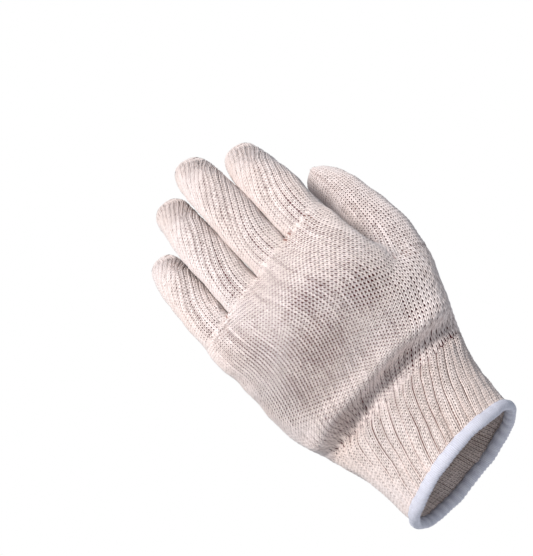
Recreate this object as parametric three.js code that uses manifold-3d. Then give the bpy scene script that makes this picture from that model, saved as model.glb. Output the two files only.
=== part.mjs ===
// A string knit glove in the form it has on a hand that is bent back at the wrist, with the four
// fingers closed side by side and the thumb along the index finger.
// Millimetres. The origin is the middle of the cuff's opening, +Z runs up the cuff to the fingers,
// -Y is the back of the hand and +X the thumb side.
import * as THREE from 'three';
import { mergeVertices } from 'three/addons/utils/BufferGeometryUtils.js';
import Module from 'manifold-3d';

// The knit
const WALL = 1.8;             // thickness of the knitted fabric
const SEAM_GAP = 0.3;         // clearance where one piece is knitted on to the next
const OVERCUT = 1;            // how far a hollow is cut past the end of its tube
const HAND_POINTS = 32;       // points round the hand
const FINGER_POINTS = 16;     // points round a finger or the thumb

// The hem: the overlocked roll round the opening
const HEM_HALF_WIDTH = 34.6;  // to the middle of the roll
const HEM_HALF_DEPTH = 27;
const HEM_HEIGHT = 6;
const HEM_THICKNESS = 4.2;
const HEM_SLANT = 8;          // degrees by which the opening's thumb side stands higher
const HEM_STEPS = 48;
const HEM_FACETS = 8;

// The rib cuff
const CUFF_BOTTOM = HEM_HEIGHT + SEAM_GAP;
const CUFF_TOP = 50;
const CUFF_ROWS = 4;
const RIBS = 40;
const RIB_POINTS = 3;         // points round one rib: its groove and the two edges of its crest
const RIB_DEPTH = 0.7;
const CUFF_TWIST = 30;        // degrees by which the ribs turn towards the thumb on their way up

// Sections of the cuff and the hand, from the opening to the webs between the fingers: centre y and
// z, lean of the section's upward normal towards the back of the hand, slant of its thumb side
// upwards, x of the little finger's side (left) and the thumb's side (right), half thickness towards
// the back and towards the palm, and the power of its rounded outline.
const HAND_COLUMNS = ['y', 'z', 'lean', 'slant', 'left', 'right', 'back', 'palm', 'power'];
const HAND = [
  [0, 0, 0, HEM_SLANT, -35.2, 35.4, 28, 28, 2.1],
  [0, 8, 0, HEM_SLANT, -35.5, 35.4, 27.5, 27.8, 2.1],
  [0, 17, 0, 6, -36.2, 35.6, 27, 27.4, 2.1],
  [0, 29, 1, 3, -37.8, 36.3, 26, 27, 2.1],
  [-0.5, 41, 5, 1, -41, 38.6, 24.2, 27, 2.2],
  [-2.6, 51.5, 14, 0, -45.5, 42.4, 21.6, 26.5, 2.2],
  [-5.6, 58.5, 24, 0, -48, 44.4, 21, 25.5, 2.2],
  [-9.4, 65, 32, 0, -49.5, 45, 22.6, 24.5, 2.3],
  [-15.2, 72.5, 38, 0, -50, 44.7, 20.8, 23, 2.4],
  [-24.5, 83, 42, 3, -49.6, 43.2, 19.2, 21, 2.4],
  [-34, 93.5, 40, 5, -49.6, 41.4, 17.4, 19, 2.4],
  [-40.6, 103, 30, 7, -49.8, 38.8, 15.2, 17, 2.4],
  [-43, 111.5, 16, 9, -50.2, 36.2, 12, 14, 2.4],
  [-43, 118.5, 4, 9, -49.4, 34.2, 8.4, 10.6, 2.4],
];
const HAND_RINGS_PER_ROW = 1.3;
const WEB_RISE = 3;           // how far the hand rounds over into the webs past its last section
const WEB_ROWS = 3;
const WEB_LAST_STEP = 0.4;    // share of a step from the last ring of the webs to their middle
const WEB_NARROWING = 0.8;    // share of the end's half thickness that the webs draw in
const HOLLOW_OVERLAP = 0.2;   // how far below the hand its hollow is cut, in rows of the table

// The fingers: x, y, z of the knuckle and x of the tip, the length from the knuckle to the middle of
// the tip, the half widths at the knuckle, middle joint, end joint and tip, and the bend added at
// the tip.
const FINGER_COLUMNS = ['name', 'x', 'y', 'z', 'tipX', 'length', 'knuckle', 'middle', 'end', 'tip', 'bend'];
const FINGERS = [
  ['finger_index', 24.1, -42, 108, 23.9, 77, 12, 11.9, 11.3, 9.7, 2],
  ['finger_middle', 1.2, -43.6, 108.5, 2.2, 90, 10.8, 10.7, 10.5, 9.6, 0],
  ['finger_ring', -20.4, -42.2, 106, -18.6, 84, 10.4, 10.3, 10, 9.2, 1],
  ['finger_little', -40.6, -39, 101.5, -38.2, 69, 9.6, 10, 9.8, 8.8, 3],
];
const JOINTS_AT = [0.12, 0.5, 0.79, 1];  // share of the length at which the half widths hold
const ROOT_SHARE = 0.8;               // share of the knuckle's width at the root inside the hand
const DEPTH_TO_WIDTH = 1.06;          // a finger is a little deeper than wide
const FINGER_POWER = 2.2;
const FINGER_ROWS = 11;
const FINGER_STEPS = 60;
const TIP_ROWS = 4;
const TIP_LAST_STEP = 0.35;           // share of a step from the last ring of a tip to its end
// Lean of a finger towards the palm, in degrees, by share of its length.
const BENDS = [[0, 3], [0.38, 6], [0.56, 22], [0.74, 28], [0.86, 38], [1, 42]];

// The thumb: its middle line and radius, from inside the palm to the tip.
const THUMB_COLUMNS = ['x', 'y', 'z', 'radius'];
const THUMB = [
  [24, -9, 59.5, 12.5],
  [34.4, -12, 71.5, 15],
  [42.5, -14.5, 87.5, 14.8],
  [47.8, -16.5, 104.5, 12.6],
  [47.8, -16.5, 122.5, 11.2],
  [46, -12, 139.5, 10],
  [44.6, -9, 146, 9.2],
];
const THUMB_ROWS = 12;
const THUMB_ROOT = { x: 46, y: -15.6, z: 98, lean: 8, slant: -12 };  // where it leaves the hand

// Colours of the yarn
const COTTON = { color: 0xe9e2d8, roughness: 0.95, metalness: 0 };
const RIB_COTTON = { color: 0xe2d9cb, roughness: 0.95, metalness: 0 };
const HEM_THREAD = { color: 0xf4f4f5, roughness: 0.85, metalness: 0 };

const wasm = await Module();
wasm.setup();

const degrees = (angle) => (angle * Math.PI) / 180;
const mix = (a, b, t) => a + (b - a) * t;
const named = (columns, row) => Object.fromEntries(columns.map((name, i) => [name, row[i]]));

// A closed mesh as a solid that can be cut and joined.
function solidOf(geometry) {
  const bare = geometry.clone();
  bare.deleteAttribute('normal');
  bare.deleteAttribute('uv');
  const merged = mergeVertices(bare, 1e-4);
  const vertProperties = new Float32Array(merged.attributes.position.array);
  const triVerts = new Uint32Array(merged.index.array);
  return new wasm.Manifold(new wasm.Mesh({ numProp: 3, vertProperties, triVerts }));
}

function geometryOf(solid) {
  const mesh = solid.getMesh();
  const geometry = new THREE.BufferGeometry();
  geometry.setAttribute('position', new THREE.BufferAttribute(new Float32Array(mesh.vertProperties), 3));
  geometry.setIndex(new THREE.BufferAttribute(new Uint32Array(mesh.triVerts), 1));
  geometry.computeVertexNormals();
  return geometry;
}

function geometryFrom(points, faces) {
  const geometry = new THREE.BufferGeometry();
  geometry.setAttribute('position', new THREE.Float32BufferAttribute(points.flatMap((p) => p.toArray()), 3));
  geometry.setIndex(faces);
  return geometry;
}

// The faces between rings of equal length, the last ring joined to the first if it is a loop.
function facesBetween(rows, count, loop) {
  const faces = [];
  for (let row = 0; row < (loop ? rows : rows - 1); row += 1) {
    const above = ((row + 1) % rows) * count;
    for (let i = 0; i < count; i += 1) {
      const next = (i + 1) % count;
      const a = row * count;
      faces.push(a + i, a + next, above + next, a + i, above + next, above + i);
    }
  }
  return faces;
}

// The closed skin over a list of rings, with a fan over each end.
function skin(rings) {
  const count = rings[0].length;
  const points = rings.flat();
  const faces = facesBetween(rings.length, count, false);
  const addFan = (row, facesUp) => {
    const middle = new THREE.Vector3();
    rings[row].forEach((point) => middle.addScaledVector(point, 1 / count));
    points.push(middle);
    for (let i = 0; i < count; i += 1) {
      const a = row * count + i;
      const b = row * count + ((i + 1) % count);
      faces.push(...(facesUp ? [a, b, points.length - 1] : [b, a, points.length - 1]));
    }
  };
  addFan(0, false);
  addFan(rings.length - 1, true);
  return solidOf(geometryFrom(points, faces));
}

// One ring of points round a section. `offset` moves the outline out, and `ripple` each point.
function ring(section, count, offset, phase = 0, ripple = () => 0) {
  const points = [];
  const halfWidth = (section.right - section.left) / 2;
  const middleX = (section.right + section.left) / 2;
  const lean = degrees(section.lean);
  const slant = degrees(section.slant);
  const across = new THREE.Vector3(Math.cos(slant), 0, Math.sin(slant));
  const toPalm = new THREE.Vector3(0, Math.cos(lean), Math.sin(lean));
  const rounded = (value) => Math.sign(value) * Math.abs(value) ** (2 / section.power);
  for (let i = 0; i < count; i += 1) {
    const angle = (2 * Math.PI * i) / count + phase;
    const moved = offset + ripple(i);
    const depth = Math.sin(angle) > 0 ? section.palm : section.back;
    const u = rounded(Math.cos(angle)) * (halfWidth + moved);
    const v = rounded(Math.sin(angle)) * (depth + moved);
    const centre = new THREE.Vector3(middleX, section.y, section.z);
    points.push(centre.addScaledVector(across, u).addScaledVector(toPalm, v));
  }
  return points;
}

// The value between table rows, on a smooth curve through them. `position` counts rows.
function smoothBetween(rows, position) {
  const at = Math.min(Math.max(position, 0), rows.length - 1);
  const i = Math.min(Math.floor(at), rows.length - 2);
  const t = at - i;
  const row = (k) => rows[Math.min(Math.max(k, 0), rows.length - 1)];
  const curve = (key) => {
    const [a, b, c, d] = [row(i - 1)[key], row(i)[key], row(i + 1)[key], row(i + 2)[key]];
    const bow = 2 * a - 5 * b + 4 * c - d + t * (3 * (b - c) + d - a);
    return b + 0.5 * t * (c - a + t * bow);
  };
  return Object.fromEntries(Object.keys(rows[0]).map((key) => [key, curve(key)]));
}

// The value at a share of the way along a list of [share, value] pairs.
function straightBetween(pairs, share) {
  const above = Math.max(1, pairs.findIndex(([at]) => at >= share));
  const [[a, low], [b, high]] = [pairs[above - 1], pairs[above]];
  return mix(low, high, (share - a) / (b - a));
}

const handRows = HAND.map((row) => named(HAND_COLUMNS, row));
const fingers = FINGERS.map((row) => named(FINGER_COLUMNS, row));
const thumbRows = THUMB.map((row) => named(THUMB_COLUMNS, row));

// The place in the hand's table where its middle reaches a height.
function placeAtHeight(height) {
  let low = 0;
  let high = handRows.length - 1;
  while (high - low > 1e-6) {
    const middle = (low + high) / 2;
    if (smoothBetween(handRows, middle).z < height) low = middle;
    else high = middle;
  }
  return low;
}

// The hand from one place in its table to the rounded end in the webs between the fingers.
function handLoft(from, offset) {
  const last = handRows.length - 1;
  const steps = Math.ceil((last - from) * HAND_RINGS_PER_ROW);
  const rings = [];
  for (let i = 0; i <= steps; i += 1) {
    rings.push(ring(smoothBetween(handRows, mix(from, last, i / steps)), HAND_POINTS, offset));
  }
  const end = handRows[last];
  const lean = degrees(end.lean);
  for (let i = 1; i <= WEB_ROWS; i += 1) {
    const angle = (Math.PI / 2) * (i / (WEB_ROWS + WEB_LAST_STEP));
    const rise = (WEB_RISE + offset) * Math.sin(angle);
    const section = { ...end, y: end.y - rise * Math.sin(lean), z: end.z + rise * Math.cos(lean) };
    const narrowing = WEB_NARROWING * end.back * (1 - Math.cos(angle));
    rings.push(ring(section, HAND_POINTS, offset - narrowing));
  }
  return skin(rings);
}

// A finger's middle line bends towards the palm, and its tip is round.
function fingerLoft(finger, offset) {
  const widths = [finger.knuckle, finger.middle, finger.end, finger.tip];
  const widthPairs = [[0, finger.knuckle * ROOT_SHARE], ...JOINTS_AT.map((at, k) => [at, widths[k]])];
  const stepLength = finger.length / FINGER_STEPS;
  const place = { x: finger.x, y: finger.y, z: finger.z };
  const rings = [];
  const addRing = ({ x, y, z }, bend, width) => {
    const depth = width * DEPTH_TO_WIDTH;
    const section = { y, z, lean: -bend, slant: 0, left: x - width, right: x + width };
    rings.push(ring({ ...section, back: depth, palm: depth, power: FINGER_POWER }, FINGER_POINTS, offset));
  };
  const stepsPerRow = FINGER_STEPS / (FINGER_ROWS - 1);
  for (let i = 0; i <= FINGER_STEPS; i += 1) {
    const share = i / FINGER_STEPS;
    const bend = straightBetween(BENDS, share) + finger.bend * share;
    if (i % stepsPerRow === 0) addRing(place, bend, straightBetween(widthPairs, share));
    if (i === FINGER_STEPS) break;
    place.x += (finger.tipX - finger.x) / FINGER_STEPS;
    place.y += stepLength * Math.sin(degrees(bend));
    place.z += stepLength * Math.cos(degrees(bend));
  }
  const tipBend = BENDS.at(-1)[1] + finger.bend;
  for (let i = 1; i <= TIP_ROWS; i += 1) {
    const angle = (Math.PI / 2) * (i / (TIP_ROWS + TIP_LAST_STEP));
    const rise = (finger.tip * DEPTH_TO_WIDTH + offset) * Math.sin(angle);
    const y = place.y + rise * Math.sin(degrees(tipBend));
    const z = place.z + rise * Math.cos(degrees(tipBend));
    addRing({ x: place.x, y, z }, tipBend, (finger.tip + offset) * Math.cos(angle) - offset);
  }
  return skin(rings);
}

// The thumb's rings stand square on a smooth line through its table, and its tip is round.
function thumbLoft(offset) {
  const places = thumbRows.map(({ x, y, z }) => new THREE.Vector3(x, y, z));
  const line = new THREE.CatmullRomCurve3(places, false, 'centripetal');
  const rings = [];
  const addRing = (centre, along, radius) => {
    const across = new THREE.Vector3(0, -1, 0).cross(along).normalize();
    const through = along.clone().cross(across);
    const points = [];
    for (let i = 0; i < FINGER_POINTS; i += 1) {
      const angle = (2 * Math.PI * i) / FINGER_POINTS;
      const point = centre.clone().addScaledVector(across, radius * Math.cos(angle));
      points.push(point.addScaledVector(through, radius * Math.sin(angle)));
    }
    rings.push(points);
  };
  for (let i = 0; i < THUMB_ROWS; i += 1) {
    const t = i / (THUMB_ROWS - 1);
    const { radius } = smoothBetween(thumbRows, t * (thumbRows.length - 1));
    addRing(line.getPoint(t), line.getTangent(t), radius + offset);
  }
  const end = line.getPoint(1);
  const along = line.getTangent(1);
  const reach = thumbRows.at(-1).radius + offset;
  for (let i = 1; i <= TIP_ROWS; i += 1) {
    const angle = (Math.PI / 2) * (i / (TIP_ROWS + TIP_LAST_STEP));
    const centre = end.clone().addScaledVector(along, reach * Math.sin(angle));
    addRing(centre, along, reach * Math.cos(angle));
  }
  return skin(rings);
}

// The rib cuff: a tube whose outline dips at each groove, and which turns on its way up.
function cuffLoft(offset, ribbed, low, high) {
  const count = ribbed ? RIBS * RIB_POINTS : RIBS;
  const ripple = (i) => (ribbed && i % RIB_POINTS === 0 ? -RIB_DEPTH : 0);
  const rings = [];
  for (let i = 0; i <= CUFF_ROWS; i += 1) {
    const share = i / CUFF_ROWS;
    const section = smoothBetween(handRows, placeAtHeight(mix(low, high, share)));
    rings.push(ring(section, count, offset, degrees(CUFF_TWIST * share), ripple));
  }
  return skin(rings);
}

// The hem: a rounded roll swept round the opening, with its thumb side higher.
function hemRoll() {
  const points = [];
  const flat = Math.cos(Math.PI / HEM_FACETS);
  for (let i = 0; i < HEM_STEPS; i += 1) {
    const angle = (2 * Math.PI * i) / HEM_STEPS;
    const [c, s] = [Math.cos(angle), Math.sin(angle)];
    const middle = new THREE.Vector3(HEM_HALF_WIDTH * c, HEM_HALF_DEPTH * s, HEM_HEIGHT / 2);
    const outward = new THREE.Vector3(c / HEM_HALF_WIDTH, s / HEM_HALF_DEPTH, 0).normalize();
    for (let k = 0; k < HEM_FACETS; k += 1) {
      const turn = (2 * Math.PI * (k + 0.5)) / HEM_FACETS;
      const point = middle.clone().addScaledVector(outward, (-HEM_THICKNESS / 2) * Math.cos(turn));
      point.z += ((HEM_HEIGHT / 2) * Math.sin(turn)) / flat;
      points.push(point);
    }
  }
  const roll = geometryFrom(points, facesBetween(HEM_STEPS, HEM_FACETS, true));
  roll.rotateY(-degrees(HEM_SLANT));
  return solidOf(roll);
}

// A block larger than the glove's upper part, whose lower face lies across a place, leaned and
// slanted as a section is.
const BLOCK_SIZE = 200;
function blockPast({ x, y, z, lean, slant }, shift) {
  const block = new THREE.BoxGeometry(BLOCK_SIZE, BLOCK_SIZE, BLOCK_SIZE);
  block.translate(0, 0, BLOCK_SIZE / 2 + shift);
  const turn = new THREE.Quaternion().setFromEuler(new THREE.Euler(degrees(lean), -degrees(slant), 0, 'YXZ'));
  const unit = new THREE.Vector3(1, 1, 1);
  block.applyMatrix4(new THREE.Matrix4().compose(new THREE.Vector3(x, y, z), turn, unit));
  return solidOf(block);
}

const glove = new THREE.Group();

function addPiece(name, solid, look) {
  const mesh = new THREE.Mesh(geometryOf(solid), new THREE.MeshStandardMaterial(look));
  mesh.name = name;
  glove.add(mesh);
}

// The hand begins where the cuff ends. The fingers' and thumb's hollows open into its own.
const handStart = placeAtHeight(CUFF_TOP + SEAM_GAP);
const hollowStart = handStart - HOLLOW_OVERLAP;
let hand = handLoft(handStart, 0).add(thumbLoft(0));
for (const finger of fingers) hand = hand.add(fingerLoft(finger, 0));
hand = hand.subtract(handLoft(hollowStart, -WALL)).subtract(thumbLoft(-WALL));
for (const finger of fingers) hand = hand.subtract(fingerLoft(finger, -WALL));

// The fingers begin past the webs, where the hand ends.
const webs = { ...handRows.at(-1), x: 0 };
const pastWebs = blockPast(webs, WEB_RISE);
const fingersStart = blockPast(webs, WEB_RISE + SEAM_GAP);
for (const finger of fingers) {
  hand = hand.subtract(fingerLoft(finger, SEAM_GAP).intersect(pastWebs));
  const tube = fingerLoft(finger, 0).subtract(fingerLoft(finger, -WALL));
  addPiece(finger.name, tube.intersect(fingersStart), COTTON);
}

// The thumb begins past its root, and stays clear of the hand and of the index finger.
hand = hand.subtract(thumbLoft(SEAM_GAP).intersect(blockPast(THUMB_ROOT, 0)));
let thumb = thumbLoft(0).subtract(thumbLoft(-WALL)).intersect(blockPast(THUMB_ROOT, SEAM_GAP));
thumb = thumb.subtract(handLoft(hollowStart, SEAM_GAP)).subtract(fingerLoft(fingers[0], SEAM_GAP));
addPiece('thumb', thumb, COTTON);
addPiece('hand', hand, COTTON);

const cuffHollow = cuffLoft(-WALL, false, CUFF_BOTTOM - OVERCUT, CUFF_TOP + OVERCUT);
addPiece('rib_cuff', cuffLoft(0, true, CUFF_BOTTOM, CUFF_TOP).subtract(cuffHollow), RIB_COTTON);
addPiece('hem', hemRoll(), HEM_THREAD);

export default glove;
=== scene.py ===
"""A string knit glove with a rib cuff and a white overlocked hem, in its worn form.

The knit is made of its stitches: two strands of yarn side by side in each, on a sheet of painted shade
behind them. Lengths are in millimetres up to the point where a mesh is made. The frame is the CAD's:
the origin is the middle of the cuff's opening, +Z runs up to the fingers and -Y is the hand's back.
"""
import math

import bpy
import numpy as np
from mathutils import Matrix, Vector


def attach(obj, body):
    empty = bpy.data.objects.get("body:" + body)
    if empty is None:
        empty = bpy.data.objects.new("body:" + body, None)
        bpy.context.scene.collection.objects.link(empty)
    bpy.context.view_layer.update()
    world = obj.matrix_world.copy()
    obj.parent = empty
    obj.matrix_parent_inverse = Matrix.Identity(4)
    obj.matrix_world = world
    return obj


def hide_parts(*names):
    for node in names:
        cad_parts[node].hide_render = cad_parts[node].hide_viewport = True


MM = 0.001
RANDOM = np.random.default_rng(11)

# The hem
HEM_HALF_WIDTH, HEM_HALF_DEPTH = 34.6, 27.0
HEM_HEIGHT, HEM_THICKNESS, HEM_SLANT = 6.0, 4.2, 8.0
HEM_WRAPS = 250

# Sections of the cuff and the hand: centre y and z, lean towards the back of the hand, slant of the
# thumb's side upwards, x of the little finger's side and the thumb's side, half thickness towards
# the back and towards the palm, and the power of the rounded outline.
HAND = np.array([
    [0, 0, 0, HEM_SLANT, -35.2, 35.4, 28, 28, 2.1],
    [0, 8, 0, HEM_SLANT, -35.5, 35.4, 27.5, 27.8, 2.1],
    [0, 17, 0, 6, -36.2, 35.6, 27, 27.4, 2.1],
    [0, 29, 1, 3, -37.8, 36.3, 26, 27, 2.1],
    [-0.5, 41, 5, 1, -41, 38.6, 24.2, 27, 2.2],
    [-2.6, 51.5, 14, 0, -45.5, 42.4, 21.6, 26.5, 2.2],
    [-5.6, 58.5, 24, 0, -48, 44.4, 21, 25.5, 2.2],
    [-9.4, 65, 32, 0, -49.5, 45, 22.6, 24.5, 2.3],
    [-15.2, 72.5, 38, 0, -50, 44.7, 20.8, 23, 2.4],
    [-24.5, 83, 42, 3, -49.6, 43.2, 19.2, 21, 2.4],
    [-34, 93.5, 40, 5, -49.6, 41.4, 17.4, 19, 2.4],
    [-40.6, 103, 30, 7, -49.8, 38.8, 15.2, 17, 2.4],
    [-43, 111.5, 16, 9, -50.2, 36.2, 12, 14, 2.4],
    [-43, 118.5, 4, 9, -49.4, 34.2, 8.4, 10.6, 2.4],
])
HAND_END_CAP = 3.0

# Fingers: knuckle x, y, z, x of the tip, length to the middle of the tip, half widths at the knuckle,
# middle joint, end joint and tip, and the bend added at the tip.
FINGERS = {
    "index": (24.1, -42, 108, 23.9, 77, 12, 11.9, 11.3, 9.7, 2),
    "middle": (1.0, -43.6, 108.5, 2.2, 90, 11.2, 11.1, 10.5, 9.6, 0),
    "ring": (-20.2, -42.2, 106, -18.6, 84, 10.8, 10.8, 10.1, 9.2, 1),
    "little": (-40.6, -39, 101.5, -38.2, 69, 9.6, 10, 9.8, 8.8, 3),
}
WIDTHS_AT = (0, 0.12, 0.5, 0.79, 1)
ROOT_SHARE = 0.8
DEPTH_TO_WIDTH = 1.06
FINGER_POWER = 2.2
BENDS_AT = (0, 0.38, 0.56, 0.74, 0.86, 1)
BENDS = (3, 6, 22, 28, 38, 42)

# The thumb: its middle line and radius.
THUMB = np.array([
    [24, -9, 59.5, 12.5],
    [34.4, -12, 71.5, 15],
    [42.5, -14.5, 87.5, 14.8],
    [47.8, -16.5, 104.5, 12.6],
    [47.8, -16.5, 122.5, 11.2],
    [46, -12, 139.5, 10],
    [44.6, -9, 146, 9.2],
])

# Where one tube of knitting is joined to the next: a point and the lean and slant of the plane.
WEBS = ((0, -43.2, 121.5), 4, 9)
THUMB_ROOT = ((46, -15.6, 92), 8, -18)

# The knit
THUMB_WALE = 1.68          # from one column of stitches to the next, on the thumb
FINGER_WALE = 1.58         # and on the fingers
COURSE = 1.8               # from one row to the next, on the tips
HAND_COURSE = 1.64         # on the hand's back
FINGER_COURSE = 1.6        # and on the backs of the fingers and the thumb
DEPTH = 0.5                # from the outside down to the stitches' middle
SHADE_SHEET_DEPTH = 1.05        # and to the sheet of painted shade behind them
INNER_DEPTH = 1.3          # and to the stitches on the cuff's inside
CUFF_SHADE_SHEET_RISE = 0.1     # by which the cuff's sheets of painted shade lie nearer to the outside
WALL = 1.8
CUFF_TOP = 50.0
HAND_START = CUFF_TOP - 2.8 * COURSE    # the hand's knit starts a little below the cuff's top
RIBS = 40
WALES_PER_RIB = 3
CUFF_COURSE = 1.65
CUFF_TWIST = 30.0          # degrees by which the ribs turn on their way up
INNER_ROWS = 14            # rows knitted on the inside of the cuff too
THUMB_CROTCH = 89.0        # height of the hand's middle where the thumb parts from it
LOWER_WALES = 118          # wales round the hand below the thumb's crotch
UPPER_WALES = 112          # and above it
BACK_WALES = 54            # of them on the back of the hand
WIDER_FROM, WIDER_BY = 0.75, 0.3      # the back's wales grow wider towards the thumb
BACK_SHARE = 0.46          # how far round the hand its back goes
WRIST_GATHER = 23.0        # by how much the back's knit is drawn together at the wrist
KNUCKLE_GATHER = 4.0       # and at the knuckles
WIDEST_AT = 100.0          # height in the view where it isn't drawn together
ROW_DROP = 0.44            # slope of the rows down to the thumb's side
ROW_BOW = 0.0016           # by which that slope grows, for each millimetre across
ROW_SPARE = 22             # rows tried past each end of a grid, for that slope
OVERLAP = 17               # rows that the hand's two grids share
RAYS = 288                 # points round a ring before the stitches are spaced on it
WEB_FILLET, KNUCKLE_FILLET, THUMB_FILLET = 3.0, 6.0, 9.0
SEAM_LAP = 0.8             # how far stitches go past the plane where two tubes join
SHADE_SHEET_LAP = 3.0           # and the sheet of painted shade behind a finger's stitches
HIDDEN_DEPTH = 2.6         # stitches this deep inside a neighbour are left out
HAND_OPEN, TUBE_OPEN = 0.42, 0.2      # how open the knit is at least
OPEN_EVERYWHERE = 0.12     # added to the openness of the open spots
PALM_DENSITY = 0.75        # how dense the palm's knit is at least
PALM_EDGE = 8              # wales at the palm's sides without that, and over which it comes in
HAND_PAIRED = 0.7          # how much the hand's wales lie in pairs close to the fingers

# The directions of the main view: to the right and up.
SIGHT_RIGHT = np.array([1.0, 0.0, 0.0])
SIGHT_UP = np.array([0.0, -0.3584, 0.9336])


def unit(vectors):
    return vectors / np.linalg.norm(vectors, axis=-1, keepdims=True)


def smooth_rows(rows, index):
    """A table's values at fractional rows, on a smooth curve through them."""
    at = np.clip(np.atleast_1d(np.asarray(index, float)), 0, len(rows) - 1)
    i = np.minimum(at.astype(int), len(rows) - 2)
    t = (at - i)[:, None]
    a, b, c, d = (rows[np.clip(i + k, 0, len(rows) - 1)] for k in (-1, 0, 1, 2))
    return b + 0.5 * t * (c - a + t * (2 * a - 5 * b + 4 * c - d + t * (3 * (b - c) + d - a)))


def straight_rows(rows, index):
    at = np.clip(index, 0, len(rows) - 1)
    i = np.minimum(at.astype(int), len(rows) - 2)
    t = (at - i)[:, None]
    return rows[i] * (1 - t) + rows[i + 1] * t


def axes(lean, slant):
    """The directions across a section and towards its palm side."""
    lean, slant = np.radians(lean), np.radians(slant)
    across = np.stack([np.cos(slant), 0 * slant, np.sin(slant)], -1)
    palm = np.stack([0 * lean, np.cos(lean), np.sin(lean)], -1)
    return across, palm


class Tube:
    """A row of sections: a centre, the axes across and to the palm, half sizes and a power."""

    def __init__(self, centre, across, palm, half, back, front, power, caps):
        along = unit(np.cross(across, palm))
        sizes = np.stack([half, back, front, power], -1)
        self.rows = np.concatenate([centre, across, palm, along, sizes], 1)
        self.caps = caps
        self.last = len(centre) - 1

    def locate(self, points):
        """The fractional section each point lies in."""
        along, centre = self.rows[:, 9:12], self.rows[:, 0:3]
        ahead = points @ along.T - (centre * along).sum(1)
        far = (points ** 2).sum(1)[:, None] - 2 * points @ centre.T + (centre ** 2).sum(1)
        near = np.argmin(np.abs(ahead) + 0.06 * np.sqrt(np.maximum(far, 0)), axis=1)
        gaps = np.linalg.norm(np.gradient(centre, axis=0), axis=1)
        shift = ahead[np.arange(len(points)), near] / gaps[near]
        return np.clip(near + np.clip(shift, -1, 1), 0, self.last)

    def distance(self, points):
        """About how far outside the tube's skin each point is."""
        row = straight_rows(self.rows, self.locate(points))
        reach = points - row[:, 0:3]
        u = (reach * row[:, 3:6]).sum(1)
        v = (reach * row[:, 6:9]).sum(1)
        over = (reach * row[:, 9:12]).sum(1)
        depth = np.where(v > 0, row[:, 14], row[:, 13])
        end = np.where(over > 0, self.caps[1], self.caps[0])
        power = row[:, 15]
        flat = np.abs(u / row[:, 12]) ** power + np.abs(v / depth) ** power
        rho = np.maximum((flat + np.abs(over / end) ** power) ** (1 / power), 1e-6)
        return (1 - 1 / rho) * np.sqrt(u * u + v * v + over * over + 1e-12)


def hand_tube():
    values = smooth_rows(HAND, np.linspace(0, len(HAND) - 1, 105))
    y, z, lean, slant, left, right, back, front, power = values.T
    across, palm = axes(lean, slant)
    centre = np.stack([(left + right) / 2, y, z], -1)
    return Tube(centre, across, palm, (right - left) / 2, back, front, power, (1.0, HAND_END_CAP))


FINGER_STEPS = 60


def finger_tube(x, y, z, tip_x, length, knuckle, middle, end, tip, bend):
    share = np.linspace(0, 1, FINGER_STEPS + 1)
    angle = np.radians(np.interp(share, BENDS_AT, BENDS) + bend * share)
    step = length / FINGER_STEPS
    run = np.concatenate([[0], np.cumsum(step * np.sin(angle[:-1]))])
    rise = np.concatenate([[0], np.cumsum(step * np.cos(angle[:-1]))])
    centre = np.stack([x + (tip_x - x) * share, y + run, z + rise], -1)
    width = np.interp(share, WIDTHS_AT, (knuckle * ROOT_SHARE, knuckle, middle, end, tip))
    across, palm = axes(-np.degrees(angle), 0 * angle)
    depth = width * DEPTH_TO_WIDTH
    caps = (6.0, tip * DEPTH_TO_WIDTH)
    return Tube(centre, across, palm, width, depth, depth, 0 * width + FINGER_POWER, caps)


def thumb_tube():
    values = smooth_rows(THUMB, np.linspace(0, len(THUMB) - 1, 61))
    centre, radius = values[:, :3], values[:, 3]
    along = unit(np.gradient(centre, axis=0))
    across = unit(np.cross(np.array([0, 1.0, 0]), along))
    palm = np.cross(along, across)
    return Tube(centre, across, palm, radius, radius, radius, 0 * radius + 2.0, (8.0, 9.2))


def past_end(tube, length, steps):
    """The tube with its last section carried straight on."""
    shift = np.linspace(0, length, steps + 1)[1:, None]
    extra = np.repeat(tube.rows[-1:], steps, axis=0)
    extra[:, 0:3] += shift * tube.rows[-1, 9:12]
    row = np.concatenate([tube.rows, extra])
    return Tube(*(row[:, a:b] for a, b in ((0, 3), (3, 6), (6, 9))), *row[:, 12:16].T, tube.caps)


HAND_TUBE = hand_tube()
HAND_SECTIONS = past_end(HAND_TUBE, 6.0, 6)
FINGER_TUBES = {name: finger_tube(*row) for name, row in FINGERS.items()}
THUMB_TUBE = thumb_tube()


def blend(a, b, radius):
    """The nearer of two skins, with a fillet where they meet."""
    gap = np.maximum(radius - np.abs(a - b), 0) / radius
    return np.minimum(a, b) - gap * gap * radius / 4


def fingers_distance(points):
    nearest = None
    for tube in FINGER_TUBES.values():
        far = tube.distance(points)
        nearest = far if nearest is None else blend(nearest, far, WEB_FILLET)
    return nearest


def hand_distance(points):
    return blend(HAND_TUBE.distance(points), fingers_distance(points), KNUCKLE_FILLET)


def glove_distance(points):
    return blend(hand_distance(points), THUMB_TUBE.distance(points), THUMB_FILLET)


def above(points, plane):
    """How far each point is past a plane."""
    point, lean, slant = plane
    across, palm = axes(np.array(float(lean)), np.array(float(slant)))
    return (points - np.array(point)) @ unit(np.cross(across, palm))


def cast(distance, start, direction, far, turns=34):
    """Where lines drawn inwards from far out reach a solid. `start` is inside it."""
    reach = np.full(len(start), float(far))
    for _ in range(turns):
        reach = reach - 0.8 * distance(start + direction * reach[:, None])
        reach = np.clip(reach, 0.5, far)
    return start + direction * reach[:, None]


def even_ring(points, count, shift):
    """A closed line of points spaced evenly, `shift` of its stitches on from its first point."""
    loop = np.concatenate([points, points[:1]])
    run = np.concatenate([[0], np.cumsum(np.linalg.norm(np.diff(loop, axis=0), axis=1))])
    at = ((np.arange(count) + shift) / count * run[-1]) % run[-1]
    return np.stack([np.interp(at, run, loop[:, k]) for k in range(3)], -1)


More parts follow.
